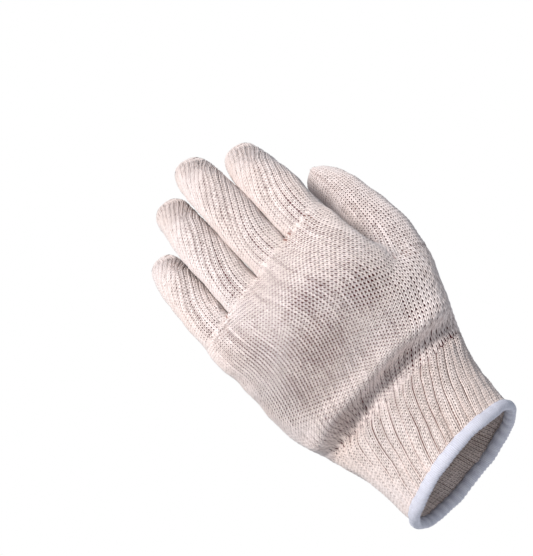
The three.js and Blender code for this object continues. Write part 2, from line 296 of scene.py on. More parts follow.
def section_rings(tube, index, distance, far=62.0):
    """Rings of points on a solid, in a tube's sections, from the little finger's side to the back."""
    row = straight_rows(tube.rows, np.asarray(index, float))
    angle = math.pi + 2 * math.pi * np.arange(RAYS) / RAYS
    direction = (row[:, None, 3:6] * np.cos(angle)[None, :, None]
                 + row[:, None, 6:9] * np.sin(angle)[None, :, None])
    start = np.repeat(row[:, None, 0:3], RAYS, axis=1)
    points = cast(distance, start.reshape(-1, 3), unit(direction.reshape(-1, 3)), far)
    return points.reshape(len(row), RAYS, 3)


def even_index(tube, low, high, step, back_share=0.5):
    """Sections a step apart, measured along the tube's back, its palm side or between the two."""
    fine = np.linspace(low, high, 400)
    row = straight_rows(tube.rows, fine)
    back = row[:, 0:3] - row[:, 6:9] * row[:, 13:14]
    front = row[:, 0:3] + row[:, 6:9] * row[:, 14:15]
    pace = (back_share * np.linalg.norm(np.diff(back, axis=0), axis=1)
            + (1 - back_share) * np.linalg.norm(np.diff(front, axis=0), axis=1))
    run = np.concatenate([[0], np.cumsum(pace)])
    count = max(2, round(run[-1] / step) + 1)
    return np.interp(np.linspace(0, run[-1], count), run, fine)


def index_at_height(height):
    return float(np.interp(height, HAND_TUBE.rows[:, 2], np.arange(HAND_TUBE.last + 1)))


def grid_of(tube, index, distance, count, shifts):
    """Stitch centres in rows round a tube: one ring for each index."""
    rings = section_rings(tube, index, distance)
    return np.stack([even_ring(ring, count, shift) for ring, shift in zip(rings, shifts)])


def normals_of(grid):
    """Outward normals of a closed grid of rings."""
    across = np.roll(grid, -1, axis=1) - np.roll(grid, 1, axis=1)
    along = np.gradient(grid, axis=0)
    normal = unit(np.cross(across, along) + 1e-9)
    middle = grid.mean(axis=1, keepdims=True)
    if ((grid - middle) * normal).sum() < 0:
        normal = -normal
    return normal


def sample(grid, row, column):
    """Values of a closed grid at fractional rows and columns."""
    rows, columns = grid.shape[:2]
    r = np.clip(np.floor(row).astype(int), 0, rows - 2)
    t = (row - r)[..., None]
    c = np.floor(column).astype(int)
    s = (column - c)[..., None]
    c0, c1 = c % columns, (c + 1) % columns
    low = grid[r, c0] * (1 - s) + grid[r, c1] * s
    high = grid[r + 1, c0] * (1 - s) + grid[r + 1, c1] * s
    return low * (1 - t) + high * t


# One strand of a stitch: stations along it, and points over its rounded top.
STRAND_ROW = np.array([-0.78, 0.2, 0.52, 0.88])         # rows from the stitch's own
STRAND_MIDDLE = np.array([0.08, 0.12, 0.35, 0.42])      # columns from the wale's middle
STRAND_WIDTH = np.array([0.70, 1.0, 1.0, 0.85])
STRAND_HEIGHT = np.array([0.30, 1.0, 0.85, 0.5])
STRAND_LEG = np.array([1.0, 1.0, 0.4, 0.0])             # 1 where a dense knit is thicker
STATIONS = (STRAND_ROW - STRAND_ROW[0]) / (STRAND_ROW[-1] - STRAND_ROW[0])
OVER = np.radians([-12, 58, 122, 192])
STRAND_HALF = 0.112        # half a strand's width where the knit is open, in wales
STRAND_FULLER = 0.123      # by how much that grows where it is dense
STRAND_SPREAD = 0.13       # by how much dense knit spreads a stitch's legs, in wales
STRAND_TALL = 0.46
STRAND_TALLER = 0.04       # by how much that grows where the knit is dense
WALE_GROOVE = 0.18         # how much lower the knit lies between two wales
PAIR_GROOVE = 0.40         # and between two pairs of wales, where they lie in pairs
PAIR_GROOVE_REACH = 0.23
PAIR_FULLER, PAIR_THINNER = 0.2, -0.12      # strands inside a pair, and at its edges
UNDER_SHEET_BAND = 0.18         # share of the texture's height for the sheets under the stitches, below the stitches' part
STITCH_BAND = 0.2          # where the stitches' part of it begins


def strand_shape(side):
    """Offsets in columns and rows, the share of the way over the top, and the height and painted shade of
    a strand.
    """
    middle = side * STRAND_MIDDLE[:, None]
    lean = side * np.gradient(STRAND_MIDDLE, STRAND_ROW)[:, None]
    width, round_top = STRAND_WIDTH[:, None], STRAND_HEIGHT[:, None]
    slope = np.sqrt(1 + lean ** 2)
    return {
        "column": middle + 0 * OVER,
        "leg": side * STRAND_LEG[:, None] + 0 * OVER,
        "row": STRAND_ROW[:, None] + 0 * OVER,
        "across_column": width * np.cos(OVER) / slope,
        "across_row": -width * lean * np.cos(OVER) / slope,
        "height": round_top * (0.35 + 0.65 * np.sin(OVER)),
        "shade": round_top * (0.5 + 0.5 * np.sin(OVER)),
    }


def strand_faces():
    stations, over = len(STATIONS), len(OVER)
    return np.array([
        [i * over + k, i * over + k + 1, (i + 1) * over + k + 1, (i + 1) * over + k]
        for i in range(stations - 1) for k in range(over - 1)
    ])


def uneven(shape, along):
    """Random numbers with a spread of 1 that change slowly along each wale."""
    rows, columns = shape
    reach = int(2 * along)
    kernel = np.exp(-0.5 * (np.arange(-reach, reach + 1) / along) ** 2)
    kernel /= math.sqrt((kernel ** 2).sum())
    raw = RANDOM.normal(0, 1, (rows + 2 * reach, columns))
    return sum(kernel[k] * raw[k:k + rows] for k in range(2 * reach + 1))


def drifted(grid, amount, along, wide=1):
    """The grid with its wales wandering a little to the sides, `wide` of them together."""
    rows, columns = grid.shape[:2]
    drift = np.repeat(uneven((rows, -(-columns // wide)), along), wide, axis=1)[:, :columns]
    drift = (np.roll(drift, 1, axis=1) + drift + np.roll(drift, -1, axis=1)) / 3
    j, i = np.meshgrid(np.arange(rows, dtype=float), np.arange(columns, dtype=float), indexing="ij")
    return sample(grid, j, i + amount * drift)


LUMP_HEIGHT = 0.3
LUMPS = [(unit(RANDOM.normal(0, 1, 3)) * 2 * math.pi / length, RANDOM.uniform(0, 6.3))
         for length in (11, 14, 17, 21, 26, 33)]


def lumpy(grid):
    """The grid with the soft unevenness of worn knit."""
    points = grid.reshape(-1, 3)
    rise = sum(np.sin(points @ wave + phase) for wave, phase in LUMPS).reshape(grid.shape[:2])
    return grid + normals_of(grid) * (LUMP_HEIGHT * rise / 2)[..., None]


def no_relief(row, column):
    return 0 * row


def knit(grid, density, keep=None, relief=no_relief, inner=False, pairs=None):
    """The strands of every stitch of a grid: points, faces, texture places and colour values."""
    rows, columns = grid.shape[:2]
    normal = normals_of(grid)
    j, i = np.meshgrid(np.arange(rows), np.arange(columns), indexing="ij")
    kept = np.ones(j.shape, bool) if keep is None else keep
    slack = uneven(j.shape, 4.0)[kept][:, None]
    j, i = j[kept].astype(float)[:, None], i[kept].astype(float)[:, None]
    dense = density[kept][:, None]
    paired = 0 * dense if pairs is None else pairs[kept][:, None]
    jitter = RANDOM.normal(0, 1, (4, len(j), 1))
    tall = (STRAND_TALL + STRAND_TALLER * dense) * (1 + 0.1 * jitter[1])
    over_all = np.tile(OVER, len(STATIONS))
    along_all = np.repeat(STATIONS, len(OVER))
    parts = []
    for side in (-1, 1):
        flat = {key: value.reshape(1, -1) for key, value in strand_shape(side).items()}
        within = (i + (side < 0)) % 2 == 0
        full = np.clip(dense + paired * np.where(within, PAIR_FULLER, PAIR_THINNER), 0, 1)
        half = (STRAND_HALF + STRAND_FULLER * full) * (1 + 0.07 * jitter[0] + 0.07 * slack)
        aside = 0.025 * jitter[2] + flat["column"] + STRAND_SPREAD * full * flat["leg"]
        aside = aside + half * flat["across_column"]
        column = i + aside
        row = j + 0.05 * jitter[3] + flat["row"] + half * flat["across_row"]
        edge = np.clip(np.abs(aside) / 0.5, 0, 1.2)
        parted = (column + 0.5) % 2
        parted = paired * np.exp(-(np.minimum(parted, 2 - parted) / PAIR_GROOVE_REACH) ** 2)
        height = tall * flat["height"] - WALE_GROOVE * edge ** 2 - PAIR_GROOVE * parted + 0.04 * slack
        height = -height - INNER_DEPTH if inner else height - DEPTH
        height = height + relief(row, column)
        points = sample(grid, row, column) + sample(normal, row, column) * height[..., None]
        cell_u = (2 * i + (side + 1) / 2 + 0.5 + 0.42 * np.cos(over_all)) / (2 * columns)
        cell_v = (j + 0.06 + 0.88 * along_all) / rows
        colour = np.ones(points.shape[:2] + (4,))
        # painted shade: darker down each strand's sides, at the wale's edges and in the grooves between
        # pairs of wales
        colour[..., 0] = flat["shade"] * (1 - 0.1 * edge) * (1 - 0.45 * parted)
        colour[..., 1] = dense
        colour[..., 2] = np.clip(0.5 + 0.2 * jitter[0] + 0.1 * slack, 0, 1)
        places = np.stack([cell_u, STITCH_BAND + (1 - STITCH_BAND) * cell_v], -1)
        parts.append((points, places, colour))
    points, places, colours = (
        np.concatenate([part[k].reshape(-1, part[k].shape[-1]) for part in parts]) for k in range(3))
    per = len(STATIONS) * len(OVER)
    faces = (np.arange(len(points) // per)[:, None, None] * per + strand_faces()[None]).reshape(-1, 4)
    return points, faces[:, ::-1] if inner else faces, places, colours


def under_sheet(grid, depth, density, keep=None):
    """The sheet under the stitches: a smooth skin at a depth, as points, faces and values.
    Most are painted shade behind the stitches; one in the hand is the glove's inside.
    """
    rows, columns = grid.shape[:2]
    points = grid - depth * normals_of(grid)
    j, i = np.meshgrid(np.arange(rows), np.arange(columns), indexing="ij")
    here = j[:-1] * columns + i[:-1]
    beside = j[:-1] * columns + (i[:-1] + 1) % columns
    faces = np.stack([here, beside, beside + columns, here + columns], -1)
    if keep is not None:
        shown = keep[:-1] | keep[1:]
        faces = faces[shown | np.roll(shown, -1, axis=1)]
    colours = np.zeros((rows, columns, 4))
    colours[..., 1] = density
    colours[..., 3] = 1
    places = np.stack([i / columns, UNDER_SHEET_BAND * j / rows], -1)
    return points.reshape(-1, 3), faces.reshape(-1, 4), places.reshape(-1, 2), colours.reshape(-1, 4)


# Grids of stitches

def hand_ring(ring, back_count, count, gather):
    """A ring of the hand with even stitches on the back, and even ones on the rest."""
    loop = np.concatenate([ring, ring[:1]])
    run = np.concatenate([[0], np.cumsum(np.linalg.norm(np.diff(loop, axis=0), axis=1))])
    back_end = run[int(RAYS * BACK_SHARE)] - gather
    wale = np.arange(count)
    share = wale / back_count
    spread = share + WIDER_BY * np.maximum(share - WIDER_FROM, 0) ** 2 / (2 * (1 - WIDER_FROM))
    spread /= 1 + WIDER_BY * (1 - WIDER_FROM) / 2
    at = np.where(wale < back_count, spread * back_end,
                  back_end + (wale - back_count) / (count - back_count) * (run[-1] - back_end))
    return np.stack([np.interp(at, run, loop[:, k]) for k in range(3)], -1)


ROOT_OVERLAP = 4.0         # how far the thumb's root goes on past its plane in the hand's rings


def stub_distance(points):
    """The hand with the thumb's root, up to where the thumb leaves it."""
    thumb = np.maximum(THUMB_TUBE.distance(points), above(points, THUMB_ROOT) - ROOT_OVERLAP)
    return blend(hand_distance(points), thumb, THUMB_FILLET)


def smooth_rings(grid, turns=4):
    """Evens out small steps from one ring to the next."""
    for _ in range(turns):
        middle = (grid[:-2] + grid[2:]) / 2
        grid = np.concatenate([grid[:1], grid[1:-1] * 0.5 + middle * 0.5, grid[-1:]])
    return grid


def cuff_grid():
    index = even_index(HAND_TUBE, index_at_height(3.5), index_at_height(CUFF_TOP + 1), CUFF_COURSE)
    share = np.linspace(0, 1, len(index))
    shifts = CUFF_TWIST / 360 * RIBS * WALES_PER_RIB * share
    return grid_of(HAND_TUBE, index, HAND_TUBE.distance, RIBS * WALES_PER_RIB, shifts)


def gather_at(up):
    """How far the back's knit is drawn together at a height in the view."""
    low = np.clip((WIDEST_AT - up) / 40, 0, 1.3) ** 1.5
    high = np.clip((up - WIDEST_AT) / 20, 0, 1.2)
    return WRIST_GATHER * low + KNUCKLE_GATHER * high


def skewed(base, low, high):
    """Stitches in rows that drop to the thumb's side. Also says which lie between two rows of the base."""
    rows, columns = base.shape[:2]
    j, i = np.meshgrid(np.arange(-ROW_SPARE, rows + ROW_SPARE), np.arange(columns), indexing="ij")
    x = np.minimum(base[np.clip(j, 0, rows - 1), i, 0], 50)
    row = j - x * (ROW_DROP + ROW_BOW * x) / HAND_COURSE
    return sample(base, np.clip(row, -2, rows + 1), i.astype(float)), (row >= low) & (row < high)


def hand_grids():
    """The hand below the thumb's crotch and above it. The two share the wales of the back."""
    start, end = index_at_height(HAND_START), float(HAND_SECTIONS.last)
    index = even_index(HAND_SECTIONS, start, end, HAND_COURSE, 1.0)
    split = int(np.searchsorted(index, index_at_height(THUMB_CROTCH)))
    rings = section_rings(HAND_SECTIONS, index, stub_distance)
    row = straight_rows(HAND_SECTIONS.rows, index)
    gather = gather_at((row[:, 0:3] - row[:, 6:9] * row[:, 13:14]) @ SIGHT_UP)
    grids = []
    spans = (LOWER_WALES, 0, split + OVERLAP), (UPPER_WALES, split - OVERLAP, len(index))
    for count, first, last in spans:
        base = np.stack([hand_ring(rings[k], BACK_WALES, count, gather[k]) for k in range(first, last)])
        base = lumpy(wrist_fold(smooth_rings(base)))
        low, high = (1.2, split) if first == 0 else (OVERLAP, len(base) + 0.5)
        grids.append(skewed(base, low, high))
    return grids


ROOT_ROWS = (0, 6, 20)     # rows of a finger by which its wales begin to turn
ROOT_TWIST = -0.18         # wales they turn at each row at its root
ROOT_START = 7.0           # how far below its root's plane a finger's rings start
TIP_WHOLE = (34, 90)       # degrees from the middle of a tip over which it has all its wales
TIP_END = (3, 38)          # and over which it has half of them


def cap_rings(tube, low, high, count, shift, tilt):
    """Rings over a tube's round tip. They close on a point that lies `tilt` degrees to the back."""
    row = tube.rows[-1]
    centre, across, palm, along = row[0:3], row[3:6], row[6:9], row[9:12]
    steps = max(3, round(math.radians(high - low) * row[12] / COURSE) + 1)
    rings = []
    for angle in np.radians(np.linspace(high, low, steps)):
        turn = math.radians(tilt) * (1 - angle / (math.pi / 2))
        pole = along * math.cos(turn) - palm * math.sin(turn)
        side = palm * math.cos(turn) + along * math.sin(turn)
        wale = math.pi + 2 * math.pi * (np.arange(count) + shift) / count
        ring = across * np.cos(wale)[:, None] + side * np.sin(wale)[:, None]
        direction = unit(pole * math.cos(angle) + ring * math.sin(angle))
        start = np.repeat(centre[None], count, axis=0)
        rings.append(cast(tube.distance, start, direction, 20.0, 16))
    return np.stack(rings)


PINCH_REACH, PINCH_PULL = 7.0, 0.5
PINCH_FOLDS, PINCH_FOLD_HEIGHT = 7, 0.32
PINCH_DENT, PINCH_DENT_REACH = 0.9, 1.5


def pinched(grid, centre):
    """The grid drawn together round a place of the view, as where a tip's last stitches are closed."""
    points = grid.reshape(-1, 3)
    normal = normals_of(grid).reshape(-1, 3)
    across, up = points @ SIGHT_RIGHT - centre[0], points @ SIGHT_UP - centre[1]
    far = np.hypot(across, up)
    facing = np.clip(-normal[:, 1] * 2, 0, 1)
    near = np.exp(-(far / PINCH_REACH) ** 2) * facing
    turn = np.arctan2(up, across)
    inwards = -(across[:, None] * SIGHT_RIGHT + up[:, None] * SIGHT_UP)
    points = points + inwards * (PINCH_PULL * near)[:, None]
    folds = PINCH_FOLD_HEIGHT * np.cos(PINCH_FOLDS * turn + 0.25 * far)
    folds = folds * np.exp(-((far - 3) / 2.6) ** 2)
    dent = -PINCH_DENT * np.exp(-(far / PINCH_DENT_REACH) ** 2)
    return (points + normal * ((folds + dent) * facing)[:, None]).reshape(grid.shape)


MOST_LIFT = 6.0            # the most by which a finger is widened near its root


def lifted(body, centre, across, distance, plan):
    """A finger's rings, widened to the glove's skin near its root. Also says which points lie hidden."""
    ray = body - centre[:, None]
    own = np.linalg.norm(ray, axis=-1, keepdims=True)
    ray = ray / own
    far = own + MOST_LIFT
    for _ in range(16):
        gap = distance((centre[:, None] + ray * far).reshape(-1, 3)).reshape(own.shape)
        far = np.clip(far - 0.8 * gap, own, own + MOST_LIFT)
    inside = distance((centre[:, None] + ray * far).reshape(-1, 3)).reshape(own.shape) < -0.6
    buried = distance(body.reshape(-1, 3)).reshape(own.shape) < -HIDDEN_DEPTH
    past = above(body.reshape(-1, 3), plan["plane"]).reshape(own.shape)
    near = 1 - np.clip((past - 2) / plan["lift_reach"], 0, 1)
    sideways = np.abs((ray * across[:, None]).sum(-1, keepdims=True))
    near = near * np.clip((plan["lift_round"] - sideways) / 0.3, 0, 1)
    grown = np.where(inside, own, own + (far - own) * near)
    return centre[:, None] + ray * grown, (inside & buried)[..., 0]


def tube_grids(tube, count, closure, twist, distance, plan):
    """A finger's stitches: its tube and the first part of its tip, then the tip's end."""
    first = np.argmax(above(tube.rows[:, 0:3], plan["plane"]) > -ROOT_START)
    index = even_index(tube, float(first), float(tube.last), FINGER_COURSE, 1.0)
    pace = np.interp(np.arange(len(index)), ROOT_ROWS, (ROOT_TWIST, ROOT_TWIST / 2, twist))
    shifts = np.cumsum(pace)
    rings = section_rings(tube, index, tube.distance, 26.0)
    body = np.stack([even_ring(ring, count, shift) for ring, shift in zip(rings, shifts)])
    row = straight_rows(tube.rows, index)
    body, hidden = lifted(body, row[:, 0:3], row[:, 3:6], distance, plan)
    whole = cap_rings(tube, *TIP_WHOLE, count, shifts[-1], plan["tilt"])
    end = cap_rings(tube, *TIP_END, count // 2, shifts[-1] / 2, plan["tilt"])
    grids = [drifted(lumpy(np.concatenate([body, whole[1:]])), 0.3, 5.0), lumpy(end)]
    hidden = np.concatenate([hidden, np.zeros((len(whole) - 1, count), bool)])
    return [pinched(grid, closure) for grid in grids] + [hidden]


# Where the knit is open enough to see into, in the main view: across, up, reach across, reach up and
# strength.
OPEN_SPOTS = (
    (22, 92, 22, 15, 0.95),
    (-10, 88, 28, 18, 1.0),
    (0, 106, 22, 11, 0.85),
    (-30, 80, 18, 16, 0.85),
    (34, 70, 14, 10, 0.6),
    (0, 72, 60, 9, 0.7),
    (0, 56, 60, 9, 0.6),
    (50, 112, 11, 34, 0.75),
    (-8, 150, 50, 40, 0.4),
    (-34, 104, 18, 16, 0.8),
    (-42, 80, 12, 16, 0.8),
    (-26, 117, 17, 10, 0.55),
    (42, 78, 12, 18, 0.55),
    (26, 138, 9, 16, 0.65),
    (4, 141, 8, 14, 0.65),
    (-20, 134, 8, 12, 0.65),
    (-40, 125, 8, 14, 0.6),
)


def openness(points, base):
    """How open the knit is at each point, and no less than the base."""
    across, up = points @ SIGHT_RIGHT, points @ SIGHT_UP
    total = 0 * across
    for x, y, reach_x, reach_y, strength in OPEN_SPOTS:
        du = (across - x) / reach_x
        dv = (up - y) / reach_y
        total = np.maximum(total, strength * np.exp(-(du * du + dv * dv)))
    return np.clip(np.maximum(total + OPEN_EVERYWHERE, base), 0, 1)


def knit_density(grid, base, least=0.0):
    points = grid.reshape(-1, 3)
    return np.maximum(1 - openness(points, base), least).reshape(grid.shape[:2])


def pairing(grid, most):
    """How much the wales lie in pairs: at the wrist's crease, and from the knuckles on."""
    points = grid.reshape(-1, 3)
    up = points @ SIGHT_UP
    fold = 1.1 * np.exp(-((up - 56) / 8) ** 2)
    fingers = most * np.clip((up - 124) / 14, 0, 1)
    strength = np.maximum(fold, fingers).reshape(grid.shape[:2])
    return np.clip(strength * (1 + 0.15 * uneven(grid.shape[:2], 4.0)), 0, 1)


# The crease where the hand bends back from the cuff: across and up of points along it.
CREASE = np.array([[-44, 47], [-30, 51], [-14, 53.5], [3, 54.8], [14, 55.5], [27, 55], [40, 52]])
CREASE_DEPTH, CREASE_REACH = 5.4, 3.6
CREASE_RUN_OUT = 5.0       # its reach down to the cuff
RIDGE_RISE, RIDGE_HEIGHT, RIDGE_REACH = 9.0, 2.6, 4.6
GATHER_STEP = 4.6          # from one small fold across the crease to the next


def wrist_fold(grid):
    """The crease and the ridge above it, pushed into the back of the wrist."""
    points = grid.reshape(-1, 3)
    across, up = points @ SIGHT_RIGHT, points @ SIGHT_UP
    over = up - np.interp(across, CREASE[:, 0], CREASE[:, 1])
    normal = normals_of(grid).reshape(-1, 3)
    facing = np.clip(-normal[:, 1] * 1.6, 0, 1)
    swing = 1 + 0.22 * np.sin(across / 5.5) + 0.12 * np.sin(across / 2.3 + 1)
    reach = np.where(over < 0, CREASE_RUN_OUT, CREASE_REACH)
    deep = -CREASE_DEPTH * swing * np.exp(-(over / reach) ** 2)
    ridge = RIDGE_HEIGHT * np.exp(-((over - RIDGE_RISE) / RIDGE_REACH) ** 2)
    small = 0.5 * np.cos(2 * math.pi * (across - 0.45 * over) / GATHER_STEP + np.sin(across / 7))
    small = small * np.exp(-((over + 1) / 6.5) ** 2) * np.clip(1.1 - 0.02 * across, 0.3, 1.6)
    return (points + normal * ((deep + ridge + small) * facing)[:, None]).reshape(grid.shape)


def rib_relief(wave):
    """The ribs' rounded crests and the narrow grooves between them, deeper in some places."""
    def relief(row, column):
        rib = np.floor(column / WALES_PER_RIB).astype(int) % RIBS
        place = column % WALES_PER_RIB
        groove = np.minimum(np.abs(place - 2.5), np.abs(place + 0.5))
        deeper = np.clip(0.75 + 0.15 * wave[np.clip(row.astype(int), 0, len(wave) - 1), rib], 0.15, 1.1)
        deeper = deeper * np.clip(0.6 + row / 20, 0, 1)
        crest = 0.14 * np.cos(2 * math.pi * (place - 1) / WALES_PER_RIB)
        return -deeper * np.exp(-(groove / 0.2) ** 2) + crest
    return relief


# Meshes

def placed(name, data):
    made = bpy.data.objects.new(name, data)
    bpy.context.scene.collection.objects.link(made)
    return made


def joined(parts):
    """Several meshes as one, with the number of each part's material for its faces."""
    points, faces, places, colours, numbers = [], [], [], [], []
    start = 0
    for number, (p, f, uv, c) in parts:
        points.append(p)
        faces.append(f + start)
        places.append(uv)
        colours.append(c)
        numbers.append(np.full(len(f), number))
        start += len(p)
    return [np.concatenate(x) for x in (points, faces, places, colours, numbers)]


def piece(name, parts, materials, node):
    """Makes one object of the scene from its parts, in the place of a node of the CAD."""
    points, faces, places, colours, numbers = joined(parts)
    mesh = bpy.data.meshes.new(name)
    mesh.vertices.add(len(points))
    mesh.vertices.foreach_set("co", (points * MM).astype(np.float32).ravel())
    mesh.loops.add(faces.size)
    mesh.loops.foreach_set("vertex_index", faces.astype(np.int32).ravel())
    mesh.polygons.add(len(faces))
    mesh.polygons.foreach_set("loop_start", (4 * np.arange(len(faces))).astype(np.int32))
    mesh.polygons.foreach_set("material_index", numbers.astype(np.int32))
    mesh.polygons.foreach_set("use_smooth", np.ones(len(faces), bool))
    layer = mesh.uv_layers.new(name="OFBake")
    layer.data.foreach_set("uv", places[faces.ravel()].astype(np.float32).ravel())
    knitted = mesh.color_attributes.new("knit", "FLOAT_COLOR", "POINT")
    knitted.data.foreach_set("color", colours.astype(np.float32).ravel())
    mesh.update(calc_edges=True)
    for material in materials:
        mesh.materials.append(material)
    made = placed(name, mesh)
    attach(made, "root")
    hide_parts(node)


# Materials

def mixed(nodes, links, factor, low, high, way="MIX"):
    mix = nodes.new("ShaderNodeMix")
    mix.data_type = "RGBA"
    mix.blend_type = way
    for socket, value in ((mix.inputs[0], factor), (mix.inputs[6], low), (mix.inputs[7], high)):
        if hasattr(value, "links"):
            links.new(value, socket)
        else:
            socket.default_value = value
    return mix.outputs[2]


def multiplied(nodes, links, first, second):
    return mixed(nodes, links, 1.0, first, second, "MULTIPLY")


def new_material(name):
    """A material, its nodes and links, and the node of its skin."""
    material = bpy.data.materials.new(name)
    material.use_nodes = True
    nodes = material.node_tree.nodes
    return material, nodes, material.node_tree.links, nodes["Principled BSDF"]


def knit_values(nodes, links):
    """The three values that each point of the knit carries: painted shade (1 on a strand's top), density
    and chance.
    """
    values = nodes.new("ShaderNodeAttribute")
    values.attribute_name = "knit"
    parts = nodes.new("ShaderNodeSeparateColor")
    links.new(values.outputs["Color"], parts.inputs[0])
    return parts.outputs


def linear(red, green, blue):
    """A colour from its values of 0 to 255 as seen on a screen."""
    def one(value):
        value /= 255
        return value / 12.92 if value <= 0.04045 else ((value + 0.055) / 1.055) ** 2.4
    return (one(red), one(green), one(blue), 1.0)


def ramp(nodes, links, value, low, high):
    """A value stretched so that low gives 0 and high gives 1."""
    node = nodes.new("ShaderNodeMapRange")
    links.new(value, node.inputs[0])
    node.inputs[1].default_value = low
    node.inputs[2].default_value = high
    return node.outputs[0]


def noise(nodes, links, scale, detail=3.0):
    node = nodes.new("ShaderNodeTexNoise")
    place = nodes.new("ShaderNodeTexCoord")
    links.new(place.outputs["Object"], node.inputs["Vector"])
    node.inputs["Scale"].default_value = scale
    node.inputs["Detail"].default_value = detail
    return node.outputs["Fac"]


WHITE = (1.0, 1.0, 1.0, 1.0)
DIM_STITCH = (0.91, 0.9, 0.89, 1.0)        # by which the darkest stitches are multiplied
DIM_FUZZ = (0.89, 0.88, 0.87, 1.0)         # and the darkest spots between fibres


def yarn_material(name, yarn, warm, shade):
    """Yarn with painted shade: lighter on top of each strand and darker down its sides, with short fibres.
    """
    material, nodes, links, skin = new_material(name)
    values = knit_values(nodes, links)
    cloudy = ramp(nodes, links, noise(nodes, links, 28), 0.35, 0.65)
    colour = mixed(nodes, links, cloudy, linear(*yarn), linear(*warm))
    top = ramp(nodes, links, values[0], 0.06, 0.7)
    colour = mixed(nodes, links, top, linear(*shade), colour)
    random = ramp(nodes, links, values[2], 0.9, 0.1)
    dim = mixed(nodes, links, random, WHITE, DIM_STITCH)
    colour = multiplied(nodes, links, colour, dim)
    fuzz = ramp(nodes, links, noise(nodes, links, 1500, 2.0), 0.62, 0.38)
    fuzz = mixed(nodes, links, fuzz, WHITE, DIM_FUZZ)
    colour = multiplied(nodes, links, colour, fuzz)
    links.new(colour, skin.inputs["Base Color"])
    skin.inputs["Roughness"].default_value = 0.92
    skin.inputs["Specular IOR Level"].default_value = 0.25
    skin.inputs["Sheen Weight"].default_value = 0.1
    skin.inputs["Sheen Roughness"].default_value = 0.6
    fibre = nodes.new("ShaderNodeBump")
    fibre.inputs["Strength"].default_value = 0.35
    fibre.inputs["Distance"].default_value = 0.0002
    links.new(noise(nodes, links, 2600, 2.0), fibre.inputs["Height"])
    links.new(fibre.outputs["Normal"], skin.inputs["Normal"])
    return material


def painted_shade_material(name, deep, close):
    """Painted shade behind the stitches: dark where the knit is open, and like the yarn in shade where
    it's dense.
    """
    material, nodes, links, skin = new_material(name)
    values = knit_values(nodes, links)
    dense = ramp(nodes, links, values[1], 0.75, 1.05)
    links.new(mixed(nodes, links, dense, linear(*deep), linear(*close)), skin.inputs["Base Color"])
    skin.inputs["Roughness"].default_value = 1.0
    skin.inputs["Specular IOR Level"].default_value = 0.1
    return material


# each yarn: two tones of its own colour, then the painted shade down its strands' sides
COTTON = yarn_material("cotton yarn", (250, 237, 234), (246, 230, 224), (160, 138, 134))
RIB_COTTON = yarn_material("rib yarn", (245, 231, 227), (241, 224, 217), (158, 136, 130))
# painted shade between the stitches, on the glove and on the cuff: dark where the knit is open, shaded
# yarn where it is dense
PAINTED_SHADE = painted_shade_material("under_sheet", (88, 8, 28), (166, 130, 120))
RIB_PAINTED_SHADE = painted_shade_material("rib lining", (98, 70, 64), (160, 138, 128))


def plain_material(name, colour, rough):
    material, _, _, skin = new_material(name)
    skin.inputs["Base Color"].default_value = linear(*colour)
    skin.inputs["Roughness"].default_value = rough
    return material


INSIDE = plain_material("inside", (214, 200, 190), 1.0)
# its last colour is the painted shade between the threads
HEM_THREAD = yarn_material("hem thread", (236, 235, 243), (229, 228, 238), (168, 166, 186))


# The glove

# Where the last stitches of each tip are closed, across and up in the view, and the wales that each
# finger's knit turns at every row.
CLOSURES = {
    "index": ((26.4, 172.9), 0.38), "middle": ((7.2, 186.5), 0.43), "ring": ((-15.6, 175.5), 0.4),
    "little": ((-34.1, 161.1), 0.44), "thumb": ((44.2, 151.6), 0.13),
}


# How the fingers and the thumb are knitted: the plane they are joined at, the degrees by which a tip
# closes towards the back, how far from the plane and how far round they are widened to the glove's
# skin, how much their wales lie in pairs, and how dense the knit is at least.
FINGER_PLAN = {
    "plane": WEBS, "tilt": 55, "lift_reach": 14.0, "lift_round": 0.9, "paired": 0.85, "least": 0.4,
}
THUMB_PLAN = {
    "plane": THUMB_ROOT, "tilt": 40, "lift_reach": 16.0, "lift_round": 2.0, "paired": 0.3, "least": 0.3,
}


def tube_parts(tube, name, count, distance, others, plan):
    """A finger's stitches and the painted shade behind them, without those hidden in its neighbours."""
    body, end, hidden = tube_grids(tube, count, *CLOSURES[name], distance, plan)
    parts = []
    for grid in (body, end):
        points, shape = grid.reshape(-1, 3), grid.shape[:2]
        past = above(points, plan["plane"])
        keep, behind = np.ones(len(points), bool), np.ones(len(points), bool)
        if grid is body:
            keep = (past > -SEAM_LAP) & ~hidden.reshape(-1)
            behind = past > -SHADE_SHEET_LAP
            for other in others:
                keep &= other.distance(points) > -HIDDEN_DEPTH
        keep, behind = keep.reshape(shape), behind.reshape(shape)
        keep[-1] = grid is body
        density = knit_density(grid, TUBE_OPEN, plan["least"])
        pairs = pairing(grid, plan["paired"]) if grid is body else 0 * density
        parts.append((0, knit(grid, density, keep, pairs=pairs)))
        # near the root the painted shade behind the stitches takes the lighter colour of dense knit
        root = np.clip(1.1 - past / 4, 0, 1).reshape(shape)
        parts.append((1, under_sheet(grid, SHADE_SHEET_DEPTH, np.maximum(density, root), behind)))
    return parts


def build_fingers():
    names = list(FINGER_TUBES)
    for place, (name, tube) in enumerate(FINGER_TUBES.items()):
        count = 2 * round(math.pi * FINGERS[name][6] / FINGER_WALE)
        beside = [FINGER_TUBES[n] for n in names[max(0, place - 1):place + 2] if n != name]
        parts = tube_parts(tube, name, count, hand_distance, beside, FINGER_PLAN)
        piece(name + "_finger", parts, (COTTON, PAINTED_SHADE), "finger_" + name)


def build_thumb():
    count = 2 * round(math.pi * THUMB[3, 3] / THUMB_WALE)
    parts = tube_parts(THUMB_TUBE, "thumb", count, glove_distance, [HAND_TUBE], THUMB_PLAN)
    piece("thumb_knit", parts, (COTTON, PAINTED_SHADE), "thumb")


